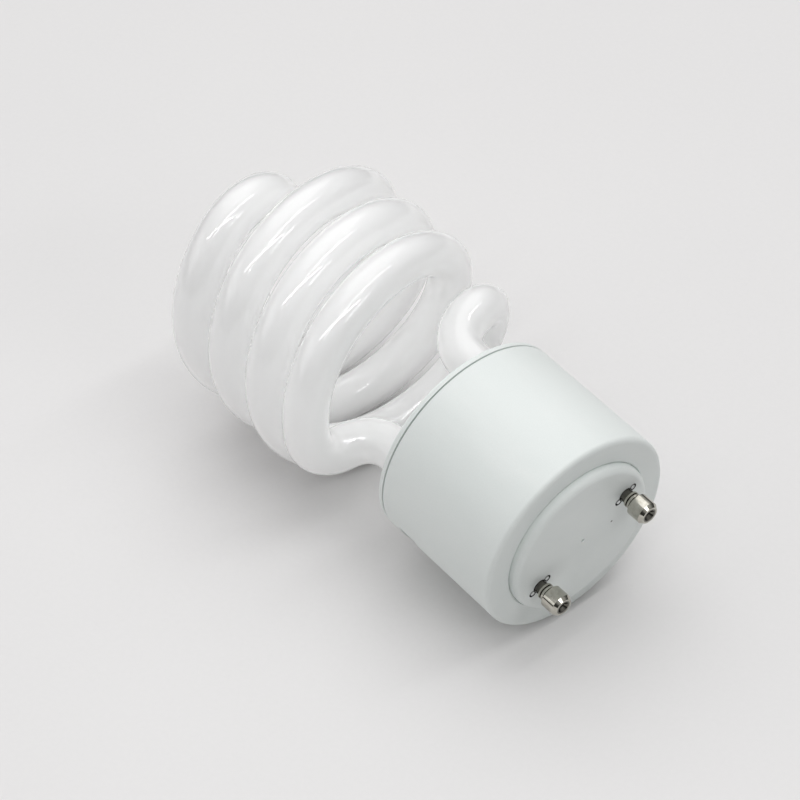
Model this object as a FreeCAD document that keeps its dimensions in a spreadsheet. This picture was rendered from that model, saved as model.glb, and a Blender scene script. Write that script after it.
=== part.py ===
import FreeCAD, Part
import math
import os
import Sketcher

V = FreeCAD.Vector
Rotation = FreeCAD.Rotation
Placement = FreeCAD.Placement

# Spiral energy saving lamp with a two-pin twist base. Everything is drawn about
# the lamp's own axis (Z from the base face towards the glass), in millimetres,
# and every piece then gets the same resting placement: the lamp lies on its side
# on the base rim and on the turn of glass nearest the housing.

doc = FreeCAD.newDocument("spiral_lamp")
sheet = doc.addObject("Spreadsheet::Sheet", "sizes")

SIZES = [
    # two-pin base
    ("pin_gap", "24", "centre to centre of the contact pins"),
    ("pin_len", "6.75", "pin length out of the base face"),
    ("pin_head_r", "2.42", "pin head radius"),
    ("pin_head_len", "3.85", "pin head length"),
    ("pin_neck_r", "1.42", "pin neck radius"),
    ("pin_ring_r", "1.75", "raised rings on the pin neck"),
    ("pin_chamfer", "0.75", "front chamfer of the pin head"),
    ("pin_back_chamfer", "0.18", "back chamfer of the pin head"),
    ("pin_dimple_r", "1.25", "mouth of the recess in the pin tip"),
    ("pin_bore_r", "0.8", "bottom of the recess in the pin tip"),
    ("pin_dimple_len", "2.2", "depth of the recess in the pin tip"),
    ("pin_flange_r", "2.9", "rivet flange behind the base wall"),
    ("pin_flange_t", "0.8", "rivet flange thickness"),
    ("pin_tail_r", "1.1", "solder tail radius"),
    ("pin_tail_z", "7", "end of the solder tail"),
    ("pin_hole_r", "1.6", "counterbore around the pin"),
    ("pin_hole_depth", "1.3", "counterbore depth"),
    ("pin_seat_r", "1.44", "hole that grips the pin neck"),
    ("pin_lobe_r", "0.84", "outer radius of the ring groove on either side of a pin"),
    ("pin_lobe_in_r", "0.52", "inner radius of that groove"),
    ("pin_lobe_off", "1.98", "distance of that groove from the pin"),
    ("pin_lobe_depth", "0.5", "depth of that groove"),
    # lower housing
    ("boss_r", "16.85", "raised round base face radius"),
    ("boss_h", "2", "raised base face height"),
    ("boss_edge", "1.3", "base face edge round"),
    ("foot_w", "0.36", "width of the groove at the foot of the base face"),
    ("foot_depth", "0.4", "depth of the groove at the foot of the base face"),
    ("boss_in_r", "14.9", "hollow behind the base face"),
    ("boss_floor", "2.2", "inner face behind the base face"),
    ("house_r", "22.45", "housing radius at the base end"),
    ("house_top_r", "22.25", "housing radius at the seam"),
    ("house_edge", "1", "housing base edge round"),
    ("house_wall", "1.6", "housing wall"),
    ("house_floor", "4", "inner floor of the housing"),
    ("seam_z", "32.85", "seam between housing and cover"),
    ("gate_r", "0.42", "moulding gate dimple"),
    ("gate_depth", "0.35", "moulding gate depth"),
    ("snap_low", "24.8", "snap window lower edge"),
    ("snap_high", "29.4", "snap window upper edge"),
    ("snap_w", "6", "snap window width"),
    ("rib_in_r", "18.3", "board rib inner radius"),
    ("rib_w", "1.6", "board rib width"),
    # top cover
    ("seam_gap", "0.42", "open line at the seam"),
    ("rim_h", "1.6", "cover rim above the seam"),
    ("rim_r", "22.2", "cover rim radius"),
    ("rim_edge", "0.5", "cover rim round"),
    ("dome_h", "1.6", "raised middle of the cover"),
    ("dome_r", "17.6", "raised middle radius"),
    ("dome_foot_r", "19.8", "foot of the raised middle"),
    ("cover_t", "1.8", "cover thickness"),
    ("skirt_r", "20.55", "cover skirt outer radius"),
    ("skirt_in_r", "19.25", "cover skirt inner radius"),
    ("skirt_len", "8.5", "cover skirt below the seam"),
    ("barb_r", "21.4", "snap barb reach"),
    ("barb_w", "5.2", "snap barb width"),
    ("barb_play", "0.2", "snap barb play in its window"),
    ("barb_len", "2.2", "snap barb length"),
    ("slot_low", "27.25", "lower edge of the slot above a barb"),
    ("slot_high", "29.3", "upper edge of the slot above a barb"),
    ("slot_w", "5.2", "width of the slot above a barb"),
    ("collar_r", "6.5", "collar round a glass leg"),
    ("collar_z", "30.4", "lower end of the collar"),
    ("leg_hole_r", "5.3", "hole for a glass leg"),
    # glass
    ("tube_r", "4.6", "glass tube outer radius"),
    ("coil_r", "23.35", "coil radius on the tube centre"),
    ("coil_rise", "23.1", "rise of one arm in a turn"),
    ("coil_z", "58.82", "height of the first arm at 270 degrees"),
    ("coil_from", "201", "angle where the arm joins the coil"),
    ("coil_to", "802", "angle where the arm leaves the coil"),
    ("leg_r", "11.4", "leg distance from the axis"),
    ("leg_az", "173.7", "direction of the first leg"),
    ("leg_end", "27.5", "sealed end of a leg"),
    ("leg_top", "50.85", "corner where the leg leans out"),
    ("lean_bend", "8", "bend radius where the leg leans out"),
    ("coil_bend", "6.4", "bend radius into the coil"),
    ("cross_bend", "11.4", "plan radius of the top crossover"),
    ("cross_rise", "4.3", "rise of the top crossover"),
    # cement
    ("cement_gap", "0.02", "fit of the cement"),
    ("cement_low", "30.9", "lower end of the cement"),
    ("cement_bead_r", "6.3", "bead on the cover"),
    ("cement_bead_h", "1.1", "bead height"),
    # board and parts on it
    ("board_z", "21.5", "board underside"),
    ("board_t", "1.6", "board thickness"),
    ("board_r", "19.1", "board radius"),
    ("wire_r", "0.3", "component lead radius"),
    ("choke_x", "-4.2", "choke centre"),
    ("choke_y", "9.6", "choke centre"),
    ("choke_w", "13", "choke core width"),
    ("choke_d", "6", "choke core depth"),
    ("choke_h", "12", "choke core height"),
    ("choke_z", "8.1", "choke core lower face"),
    ("choke_leg", "3", "choke centre leg"),
    ("choke_side", "2", "choke outer leg"),
    ("choke_yoke", "2.2", "choke yoke"),
    ("bobbin_t", "0.45", "bobbin wall"),
    ("bobbin_flange", "0.6", "bobbin flange"),
    ("winding_t", "2.1", "choke winding thickness"),
    ("cap_r", "5", "smoothing capacitor radius"),
    ("cap_h", "13.5", "smoothing capacitor height"),
    ("cap_x", "9.2", "smoothing capacitor centre"),
    ("cap_y", "9.2", "smoothing capacitor centre"),
    ("film_l", "10", "resonance capacitor length"),
    ("film_w", "4.4", "resonance capacitor width"),
    ("film_h", "9", "resonance capacitor height"),
    ("small_film_l", "6.6", "small film capacitor length"),
    ("small_film_w", "2.6", "small film capacitor width"),
    ("small_film_h", "6", "small film capacitor height"),
    ("toroid_r", "4.7", "drive transformer ring outer radius"),
    ("toroid_in_r", "2.6", "drive transformer ring inner radius"),
    ("toroid_h", "3.2", "drive transformer ring height"),
    ("toroid_wire", "0.5", "drive winding thickness"),
    ("to92_r", "2.4", "transistor radius"),
    ("to92_flat", "1.3", "transistor flat"),
    ("to92_h", "4.7", "transistor height"),
    ("diode_r", "1.3", "diode radius"),
    ("diode_l", "4.6", "diode length"),
    ("fuse_r", "1.7", "fuse resistor radius"),
    ("fuse_l", "7", "fuse resistor length"),
    ("res_r", "0.95", "resistor radius"),
    ("res_l", "3.4", "resistor length"),
    ("diac_r", "0.9", "trigger diode radius"),
    ("diac_l", "3.8", "trigger diode length"),
    ("drum_r", "3.4", "filter coil flange radius"),
    ("drum_core_r", "1.7", "filter coil core radius"),
    ("drum_h", "7", "filter coil height"),
    ("drum_flange", "0.9", "filter coil flange"),
    ("ptc_r", "2.9", "thermistor radius"),
    ("ptc_t", "2.4", "thermistor thickness"),
    ("post_w", "0.8", "wrap post width"),
    ("post_h", "3.4", "wrap post height above the board"),
    ("post_r", "16.9", "wrap post distance from the axis"),
    ("lamp_wire_r", "0.25", "filament lead radius"),
    ("lamp_wire_off", "1.6", "filament lead offset in the seal"),
    ("feed_wire_r", "0.7", "feed wire radius"),
    # resting placement
    ("rest_tilt", "5.4649", "rise of the axis towards the glass"),
    ("rest_down", "120", "side of the lamp that faces down"),
    ("rest_x", "47.1463", "shift along the table"),
    ("rest_y", "0", "shift across the table"),
    ("rest_z", "22.0606", "height of the base face centre"),
]
for row, (name, value, note) in enumerate(SIZES, start=1):
    sheet.set("A%d" % row, name)
    sheet.set("B%d" % row, value)
    sheet.setAlias("B%d" % row, name)
    sheet.set("C%d" % row, note)
doc.recompute()


class Q:
    """A number together with the sheet formula it comes from."""

    def __init__(self, value, text=None):
        self.v = float(value)
        self.t = text if text is not None else repr(float(value))

    def __add__(self, other):
        o = q(other)
        return Q(self.v + o.v, "(%s + %s)" % (self.t, o.t))

    def __sub__(self, other):
        o = q(other)
        return Q(self.v - o.v, "(%s - %s)" % (self.t, o.t))

    def __mul__(self, other):
        o = q(other)
        return Q(self.v * o.v, "(%s * %s)" % (self.t, o.t))

    def __truediv__(self, other):
        o = q(other)
        return Q(self.v / o.v, "(%s / %s)" % (self.t, o.t))

    def __neg__(self):
        return Q(-self.v, "(0 - %s)" % self.t)


def q(x):
    if isinstance(x, Q):
        return x
    if isinstance(x, str):
        return Q(sheet.get(x), "sizes." + x)
    return Q(x)


def qcos(a):
    a = q(a)
    return Q(math.cos(math.radians(a.v)), "cos(%s * 1 deg)" % a.t)


def qsin(a):
    a = q(a)
    return Q(math.sin(math.radians(a.v)), "sin(%s * 1 deg)" % a.t)


def num(name):
    return float(sheet.get(name))


def bind(obj, prop, amount):
    amount = q(amount)
    setattr(obj, prop, amount.v)
    obj.setExpression(prop, amount.t)


# ------------------------------------------------------------------ resting placement
def rest_placement():
    b, a = math.radians(num("rest_tilt")), math.radians(num("rest_down"))
    # lamp axis, the direction that faces down, and the third direction
    zc = V(-math.cos(b), 0, math.sin(b))
    dn = V(-math.sin(b), 0, -math.cos(b))
    sd = zc.cross(dn)
    xc = dn * math.cos(a) - sd * math.sin(a)
    yc = dn * math.sin(a) + sd * math.cos(a)
    m = FreeCAD.Matrix(
        xc.x, yc.x, zc.x, num("rest_x"),
        xc.y, yc.y, zc.y, num("rest_y"),
        xc.z, yc.z, zc.z, num("rest_z"),
        0, 0, 0, 1,
    )
    return Placement(m)


REST = rest_placement()
PIECES = []


def finish(obj, label, local=None):
    obj.Label = label
    obj.Placement = REST.multiply(local) if local else REST
    PIECES.append(obj)
    return obj


# ------------------------------------------------------------------ sketch helpers
def plane(body, role):
    for f in body.Origin.OriginFeatures:
        if f.Role == role:
            return f


def new_body(name):
    return doc.addObject("PartDesign::Body", name)


def new_sketch(body, name, role="XY_Plane", up=None, turn=0):
    sk = body.newObject("Sketcher::SketchObject", name)
    sk.AttachmentSupport = [(plane(body, role), "")]
    sk.MapMode = "FlatFace"
    if turn:
        sk.AttachmentOffset = Placement(V(0, 0, 0), Rotation(V(0, 0, 1), turn))
    if up is not None:
        sk.setExpression("AttachmentOffset.Base.z", q(up).t)
    return sk


def fix(sk, geo, pos, x, y):
    for kind, amount, axis in (("DistanceX", q(x), -2), ("DistanceY", q(y), -1)):
        if abs(amount.v) < 1e-9:
            sk.addConstraint(Sketcher.Constraint("PointOnObject", geo, pos, axis))
        elif amount.v > 0:
            c = sk.addConstraint(Sketcher.Constraint(kind, -1, 1, geo, pos, amount.v))
            sk.setExpression("Constraints[%d]" % c, amount.t)
        else:
            c = sk.addConstraint(Sketcher.Constraint(kind, geo, pos, -1, 1, -amount.v))
            sk.setExpression("Constraints[%d]" % c, (-amount).t)


def outline(sk, pts):
    pts = [(q(x), q(y)) for x, y in pts]
    n, g = len(pts), sk.GeometryCount
    for i in range(n):
        a, b = pts[i], pts[(i + 1) % n]
        sk.addGeometry(Part.LineSegment(V(a[0].v, a[1].v, 0), V(b[0].v, b[1].v, 0)), False)
    for i in range(n):
        sk.addConstraint(Sketcher.Constraint("Coincident", g + i, 2, g + (i + 1) % n, 1))
    for i in range(n):
        fix(sk, g + i, 1, *pts[i])


def rect(sk, x0, x1, y0, y1):
    outline(sk, [(x0, y0), (x1, y0), (x1, y1), (x0, y1)])


def ring(sk, x, y, r):
    x, y, r = q(x), q(y), q(r)
    g = sk.addGeometry(Part.Circle(V(x.v, y.v, 0), V(0, 0, 1), r.v), False)
    fix(sk, g, 3, x, y)
    c = sk.addConstraint(Sketcher.Constraint("Radius", g, r.v))
    sk.setExpression("Constraints[%d]" % c, r.t)


def revolve(body, sk, angle=360.0):
    f = body.newObject("PartDesign::Revolution", body.Name + "_turned")
    f.Profile = sk
    f.ReferenceAxis = (sk, ["V_Axis"])
    f.Angle = angle
    sk.Visibility = False
    doc.recompute()
    return f


def pad(body, sk, length, name="pad", midplane=False, reverse=False):
    f = body.newObject("PartDesign::Pad", body.Name + "_" + name)
    f.Profile = sk
    bind(f, "Length", length)
    f.Midplane = midplane
    f.Reversed = reverse
    sk.Visibility = False
    doc.recompute()
    return f


def pocket(body, sk, length, name="pocket", midplane=False, reverse=False):
    f = body.newObject("PartDesign::Pocket", body.Name + "_" + name)
    f.Profile = sk
    bind(f, "Length", length)
    f.Midplane = midplane
    f.Reversed = reverse
    sk.Visibility = False
    doc.recompute()
    return f


def polar(body, feature, count, name="around"):
    f = body.newObject("PartDesign::PolarPattern", body.Name + "_" + name)
    f.Originals = [feature]
    f.Axis = (plane(body, "Z_Axis"), [""])
    f.Angle = 360
    f.Occurrences = count
    body.Tip = f
    doc.recompute()
    return f


def round_edges(body, test, radius, name="round", kind="PartDesign::Fillet"):
    tip = body.Tip
    names = ["Edge%d" % (i + 1) for i, e in enumerate(tip.Shape.Edges) if test(e)]
    if not names:
        raise RuntimeError("no edge to round on " + body.Name)
    f = body.newObject(kind, body.Name + "_" + name)
    f.Base = (tip, names)
    bind(f, "Radius" if kind.endswith("Fillet") else "Size", radius)
    doc.recompute()
    return f


def circle_edge(r, z, tol=0.02):
    def test(e):
        c = e.Curve
        return (
            c.TypeId == "Part::GeomCircle"
            and abs(c.Radius - r) < tol
            and abs(c.Center.z - z) < tol
            and math.hypot(c.Center.x, c.Center.y) < tol
        )

    return test


half = q("pin_gap") / 2

# ------------------------------------------------------------------ lower housing
b = new_body("lower_housing")
s = new_sketch(b, "housing_profile", "XZ_Plane")
outline(s, [
    (0, 0),
    ("boss_r", 0),
    ("boss_r", q("boss_h") + "foot_depth"),
    (q("boss_r") + "foot_w", q("boss_h") + "foot_depth"),
    (q("boss_r") + "foot_w", "boss_h"),
    ("house_r", "boss_h"),
    ("house_top_r", "seam_z"),
    (q("house_top_r") - "house_wall", "seam_z"),
    (q("house_r") - "house_wall", "house_floor"),
    ("boss_in_r", "house_floor"),
    ("boss_in_r", "boss_floor"),
    (0, "boss_floor"),
])
revolve(b, s)
round_edges(b, circle_edge(num("boss_r"), 0), "boss_edge", "boss_round")
round_edges(b, circle_edge(num("house_r"), num("boss_h")), "house_edge", "base_round")
s = new_sketch(b, "pin_counterbores")
ring(s, half, 0, "pin_hole_r")
ring(s, -half, 0, "pin_hole_r")
pocket(b, s, "pin_hole_depth", "counterbore", reverse=True)
s = new_sketch(b, "pin_seats")
ring(s, half, 0, "pin_seat_r")
ring(s, -half, 0, "pin_seat_r")
pocket(b, s, q("house_floor") + 1, "seat", reverse=True)
s = new_sketch(b, "pin_lobes")
for side in (half, -half):
    for at in (side + "pin_lobe_off", side - "pin_lobe_off"):
        ring(s, at, 0, "pin_lobe_r")
        ring(s, at, 0, "pin_lobe_in_r")
pocket(b, s, "pin_lobe_depth", "lobes", reverse=True)
s = new_sketch(b, "gate_mark")
ring(s, 0, 0, "gate_r")
pocket(b, s, "gate_depth", "gate", reverse=True)
s = new_sketch(b, "snap_windows", "YZ_Plane")
rect(s, -(q("snap_w") / 2), q("snap_w") / 2, "snap_low", "snap_high")
pocket(b, s, q("house_r") * 2 + 4, "windows", midplane=True)
s = new_sketch(b, "board_rib", "XY_Plane", q("house_floor") - 0.2, 45)
rect(s, "rib_in_r", q("house_r") - q("house_wall") / 2, -(q("rib_w") / 2), q("rib_w") / 2)
rib = pad(b, s, q("board_z") - "house_floor" + 0.2, "rib")
polar(b, rib, 4, "ribs")
finish(b, "lower_housing")

# ------------------------------------------------------------------ top cover
cover_top = q("seam_z") + "rim_h"
dome_top = cover_top + "dome_h"
leg_x, leg_y = q("leg_r") * qcos("leg_az"), q("leg_r") * qsin("leg_az")
b = new_body("top_cover")
s = new_sketch(b, "cover_profile", "XZ_Plane")
outline(s, [
    (0, dome_top),
    ("dome_r", dome_top),
    ("dome_foot_r", cover_top),
    ("rim_r", cover_top),
    ("rim_r", q("seam_z") + "seam_gap"),
    ("skirt_r", q("seam_z") + "seam_gap"),
    ("skirt_r", q("seam_z") - "skirt_len"),
    ("skirt_in_r", q("seam_z") - "skirt_len"),
    ("skirt_in_r", cover_top - "cover_t"),
    (q("dome_r") - 0.6, dome_top - "cover_t"),
    (0, dome_top - "cover_t"),
])
revolve(b, s)
round_edges(b, circle_edge(num("rim_r"), cover_top.v), "rim_edge", "rim_round")
s = new_sketch(b, "collars", "XY_Plane", "collar_z")
ring(s, leg_x, leg_y, "collar_r")
ring(s, -leg_x, -leg_y, "collar_r")
pad(b, s, dome_top - "cover_t" - "collar_z" + 0.4, "collar")
s = new_sketch(b, "leg_holes", "XY_Plane", q("collar_z") - 1)
ring(s, leg_x, leg_y, "leg_hole_r")
ring(s, -leg_x, -leg_y, "leg_hole_r")
pocket(b, s, 10, "leg_hole", reverse=True)
s = new_sketch(b, "snap_barb", "XY_Plane", q("snap_low") + "barb_play")
rect(s, q("skirt_in_r") + 0.4, "barb_r", -(q("barb_w") / 2), q("barb_w") / 2)
barb = pad(b, s, "barb_len", "barb")
polar(b, barb, 2, "barbs")
s = new_sketch(b, "barb_slots", "YZ_Plane")
rect(s, -(q("slot_w") / 2), q("slot_w") / 2, "slot_low", "slot_high")
pocket(b, s, q("skirt_r") * 2 + 4, "slots", midplane=True)
finish(b, "top_cover")


# ------------------------------------------------------------------ spiral glass tube
def unit(v):
    return v * (1.0 / v.Length)


def turn_z(v, deg):
    c, s_ = math.cos(math.radians(deg)), math.sin(math.radians(deg))
    return V(c * v.x - s_ * v.y, s_ * v.x + c * v.y, v.z)


def corner(p0, p1, p2, r):
    """Start, middle and end of the arc of radius r that rounds the corner p1."""
    a, c = unit(p0 - p1), unit(p2 - p1)
    ang = a.getAngle(c)
    t = r / math.tan(ang / 2)
    bis = unit(a + c)
    mid = p1 + bis * (r / math.sin(ang / 2) - r)
    return p1 + a * t, mid, p1 + c * t


def arc_from(p, tangent, end):
    """Point halfway along the arc that leaves p along tangent and reaches end."""
    chord = end - p
    n = tangent - chord * (tangent.dot(chord) / chord.dot(chord))
    if n.Length < 1e-7:
        return None
    phi = tangent.getAngle(chord)
    return p + chord * 0.5 + unit(n) * (chord.Length / 2 * math.tan(phi / 2))


def two_arcs(p0, t0, p1, t1):
    """Two tangent arcs that join p0 along t0 to p1 along t1, as point triples."""
    v, t = p1 - p0, t0 + t1
    k = 2 * (1 - t0.dot(t1))
    if k < 1e-9:
        d = v.dot(v) / (4 * v.dot(t1))
    else:
        d = (-v.dot(t) + math.sqrt(v.dot(t) ** 2 + k * v.dot(v))) / k
    m = (p0 + p1 + (t0 - t1) * d) * 0.5
    return [(p0, arc_from(p0, t0, m), m), (m, arc_from(p1, t1 * -1, m), p1)]


def arm(start_z):
    """Runs of one arm from its sealed end to the middle of the crossover: (points) of lines and arcs."""
    R, rise, rt = num("coil_r"), num("coil_rise"), num("tube_r")
    a0, a1 = num("coil_from"), num("coil_to")

    def height(deg):
        return num("coil_z") + rise * (deg - 270) / 360

    def helix(deg):
        a = math.radians(deg)
        return V(R * math.cos(a), R * math.sin(a), height(deg))

    def tangent(deg):
        a = math.radians(deg)
        return unit(V(-R * math.sin(a), R * math.cos(a), rise / (2 * math.pi)))

    az = math.radians(num("leg_az"))
    foot = V(num("leg_r") * math.cos(az), num("leg_r") * math.sin(az), start_z)
    lean = V(foot.x, foot.y, num("leg_top"))
    join, tj = helix(a0), tangent(a0)
    d = num("coil_bend")
    for _ in range(40):
        out = join - tj * d
        d = num("coil_bend") / math.tan((lean - out).getAngle(tj) / 2)
    out = join - tj * d
    l0, lm, l1 = corner(foot, lean, out, num("lean_bend"))
    c0, cm, c1 = corner(lean, out, join, num("coil_bend"))
    runs = [(foot, l0), (l0, lm, l1), (l1, c0), (c0, cm, c1)]
    # coil
    n = int(math.ceil((a1 - a0) / 50.0))
    for i in range(n):
        u, w = a0 + (a1 - a0) * i / n, a0 + (a1 - a0) * (i + 1) / n
        runs += two_arcs(helix(u), tangent(u), helix(w), tangent(w))
    # crossover: a tighter curl in plan, then straight to the axis
    rho = num("cross_bend")
    off = R - rho
    th = math.radians(a1)
    curl = math.pi - math.acos(min(rho / off, 1.0))
    flat = math.sqrt(max(off * off - rho * rho, 0))
    total = rho * curl + flat
    slope = rise / (2 * math.pi) / R

    def cross(sv):
        uu = sv / total
        z = height(a1) + slope * total * (uu - 2 * uu**2 + uu**3) + num("cross_rise") * (3 * uu**2 - 2 * uu**3)
        dz = slope * (1 - 4 * uu + 3 * uu**2) + num("cross_rise") / total * (6 * uu - 6 * uu**2)
        if sv <= rho * curl:
            k = th + sv / rho
            p = V(off * math.cos(th) + rho * math.cos(k), off * math.sin(th) + rho * math.sin(k), z)
            t = V(-math.sin(k), math.cos(k), dz)
        else:
            k = th + curl
            t = V(-math.sin(k), math.cos(k), dz)
            rest = total - sv
            p = V(-t.x * rest, -t.y * rest, z)
        return p, unit(t)

    marks = [rho * curl * i / 5 for i in range(6)] + [total]
    for u, w in zip(marks[:-1], marks[1:]):
        p0, t0 = cross(u)
        p1, t1 = cross(w)
        runs += two_arcs(p0, t0, p1, t1)
    return runs


def path(start_z):
    first = arm(start_z)
    second = [tuple(turn_z(p, 180) for p in reversed(r)) for r in reversed(first)]
    edges = []
    for r in first + second:
        if len(r) == 2 or r[1] is None:
            edges.append(Part.LineSegment(r[0], r[-1]).toShape())
        else:
            edges.append(Part.Arc(r[0], r[1], r[2]).toShape())
    return Part.Wire(edges)


def swept(wire, radius):
    p = wire.OrderedVertexes[0].Point if hasattr(wire, "OrderedVertexes") else wire.Vertexes[0].Point
    disc = Part.Face(Part.Wire([Part.Circle(p, V(0, 0, 1), radius).toShape()]))
    return wire.makePipe(disc)


# the coated tube is closed at both ends and can't be seen into, so it is one full solid
tube_path = path(num("leg_end"))
tube = doc.addObject("Part::Feature", "spiral_tube")
tube.Shape = swept(tube_path, num("tube_r"))
want = math.pi * num("tube_r") ** 2 * tube_path.Length
print("tube length", round(tube_path.Length, 1), "volume", round(tube.Shape.Volume, 1), "expected", round(want, 1))
if abs(tube.Shape.Volume - want) > 0.01 * want:
    raise RuntimeError("tube volume")
finish(tube, "spiral_tube")

# ------------------------------------------------------------------ cement in the leg holes
for k, turned in ((1, 0), (2, 180)):
    b = new_body("tube_cement_%d" % k)
    s = new_sketch(b, "cement_profile_%d" % k, "XZ_Plane")
    inner = q("tube_r") + "cement_gap"
    outline(s, [
        (inner, "cement_low"),
        (q("leg_hole_r") - "cement_gap", "cement_low"),
        (q("leg_hole_r") - "cement_gap", dome_top + "cement_gap"),
        ("cement_bead_r", dome_top + "cement_gap"),
        (inner + 0.35, dome_top + "cement_bead_h"),
        (inner, dome_top + "cement_bead_h"),
    ])
    revolve(b, s)
    at = turn_z(V(leg_x.v, leg_y.v, 0), turned)
    finish(b, "tube_cement_%d" % k, Placement(at, Rotation()))

# ------------------------------------------------------------------ contact pins
for k, side in ((1, 1), (2, -1)):
    b = new_body("contact_pin_%d" % k)
    s = new_sketch(b, "pin_profile_%d" % k, "XZ_Plane")
    tip = -q("pin_len")
    back = tip + "pin_head_len"
    outline(s, [
        (0, tip + "pin_dimple_len"),
        ("pin_bore_r", tip + q("pin_dimple_len") - 0.35),
        ("pin_bore_r", tip + 0.75),
        ("pin_dimple_r", tip),
        (q("pin_head_r") - q("pin_chamfer") * 0.7, tip),
        ("pin_head_r", tip + "pin_chamfer"),
        ("pin_head_r", back - "pin_back_chamfer"),
        (q("pin_head_r") - "pin_back_chamfer", back),
        ("pin_neck_r", back),
        ("pin_neck_r", back + 0.35),
        ("pin_ring_r", back + 0.35),
        ("pin_ring_r", back + 0.8),
        ("pin_neck_r", back + 0.8),
        ("pin_neck_r", back + 1.15),
        ("pin_ring_r", back + 1.15),
        ("pin_ring_r", back + 1.55),
        ("pin_neck_r", back + 1.55),
        ("pin_neck_r", "boss_floor"),
        ("pin_flange_r", "boss_floor"),
        ("pin_flange_r", q("boss_floor") + "pin_flange_t"),
        ("pin_tail_r", q("boss_floor") + "pin_flange_t"),
        ("pin_tail_r", "pin_tail_z"),
        (0, "pin_tail_z"),
    ])
    revolve(b, s)
    finish(b, "contact_pin_%d" % k, Placement(V(side * num("pin_gap") / 2, 0, 0), Rotation()))

# ------------------------------------------------------------------ ballast board
b = new_body("ballast_board")
s = new_sketch(b, "board_outline", "XY_Plane", "board_z")
ring(s, 0, 0, "board_r")
pad(b, s, "board_t", "sheet")
finish(b, "ballast_board")


# ------------------------------------------------------------------ simple solids for the parts on the board
def cylinder(radius, height, at, axis=V(0, 0, 1)):
    o = doc.addObject("Part::Cylinder", "cyl")
    bind(o, "Radius", radius)
    bind(o, "Height", height)
    o.Placement = Placement(at, Rotation(V(0, 0, 1), axis))
    return o


def box(length, width, height, at, turn=0):
    """Box centred on at in plan, its lower face at at.z."""
    o = doc.addObject("Part::Box", "box")
    bind(o, "Length", length)
    bind(o, "Width", width)
    bind(o, "Height", height)
    spin = Rotation(V(0, 0, 1), turn)
    o.Placement = Placement(at + spin.multVec(V(-q(length).v / 2, -q(width).v / 2, 0)), spin)
    return o


def ball(radius, at):
    o = doc.addObject("Part::Sphere", "ball")
    bind(o, "Radius", radius)
    o.Placement = Placement(at, Rotation())
    return o


def fuse(parts, name):
    o = doc.addObject("Part::MultiFuse", name)
    o.Shapes = parts
    doc.recompute()
    return o


def cut(base, tool, name):
    o = doc.addObject("Part::Cut", name)
    o.Base, o.Tool = base, tool
    doc.recompute()
    return o


def group(parts, name):
    o = doc.addObject("Part::Compound", name)
    o.Links = parts
    doc.recompute()
    return o


board = num("board_z")
wire = "wire_r"


def drop_lead(x, y, z, name=None):
    """Straight lead from height z up to the board."""
    return cylinder(wire, board - z, V(x, y, z))


def axial(radius, length, x, y, z, turn, name):
    """Lying body of the given size with a lead at each end bent up to the board."""
    r, ln = q(radius), q(length)
    d = Rotation(V(0, 0, 1), turn).multVec(V(1, 0, 0))
    c = V(x, y, z)
    reach = ln.v / 2 + 1.4
    parts = [cylinder(r, ln, c - d * (ln.v / 2), d), cylinder(wire, q(length) + 2.8, c - d * reach, d)]
    for e in (c - d * reach, c + d * reach):
        parts += [ball(wire, e), drop_lead(e.x, e.y, e.z)]
    return fuse(parts, name)


# choke: ferrite pair with a wound bobbin on its centre leg
cx, cy, cz = num("choke_x"), num("choke_y"), num("choke_z")
window = (q("choke_w") - "choke_leg" - q("choke_side") * 2) / 2
gap_h = q("choke_h") - q("choke_yoke") * 2
b = new_body("choke_core")
s = new_sketch(b, "core_outline", "XZ_Plane")
w2, l2 = q("choke_w") / 2, q("choke_leg") / 2
rect(s, -w2, w2, 0, "choke_h")
rect(s, l2, l2 + window, "choke_yoke", q("choke_yoke") + gap_h)
rect(s, -(l2 + window), -l2, "choke_yoke", q("choke_yoke") + gap_h)
pad(b, s, "choke_d", "stack", midplane=True)
core_at = Placement(V(cx, cy, cz), Rotation())
finish(b, "choke_core", core_at)

play = 0.1
b = new_body("choke_bobbin")
bl, bd = l2 + play, q("choke_d") / 2 + play
s = new_sketch(b, "bobbin_barrel", "XY_Plane", q("choke_yoke") + 0.05)
rect(s, -(bl + "bobbin_t"), bl + "bobbin_t", -(bd + "bobbin_t"), bd + "bobbin_t")
rect(s, -bl, bl, -bd, bd)
pad(b, s, gap_h - 0.1, "barrel")
for k, z in ((1, q("choke_yoke") + 0.05), (2, q("choke_yoke") + gap_h - 0.05 - "bobbin_flange")):
    s = new_sketch(b, "bobbin_flange_%d" % k, "XY_Plane", z)
    fx, fy = l2 + window - 0.1, bd + "bobbin_t" + "winding_t" + 0.4
    rect(s, -fx, fx, -fy, fy)
    rect(s, -bl, bl, -bd, bd)
    pad(b, s, "bobbin_flange", "flange_%d" % k)
s = new_sketch(b, "bobbin_feet", "XY_Plane", q("choke_yoke") + gap_h - 0.05 - q("bobbin_flange"))
rect(s, -fx, fx, bd + 0.2, fy)
rect(s, -fx, fx, -fy, -(bd + 0.2))
pad(b, s, q("board_z") - "choke_z" - "choke_yoke" - gap_h + 0.05 + "bobbin_flange", "feet")
finish(b, "choke_bobbin", core_at)

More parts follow.
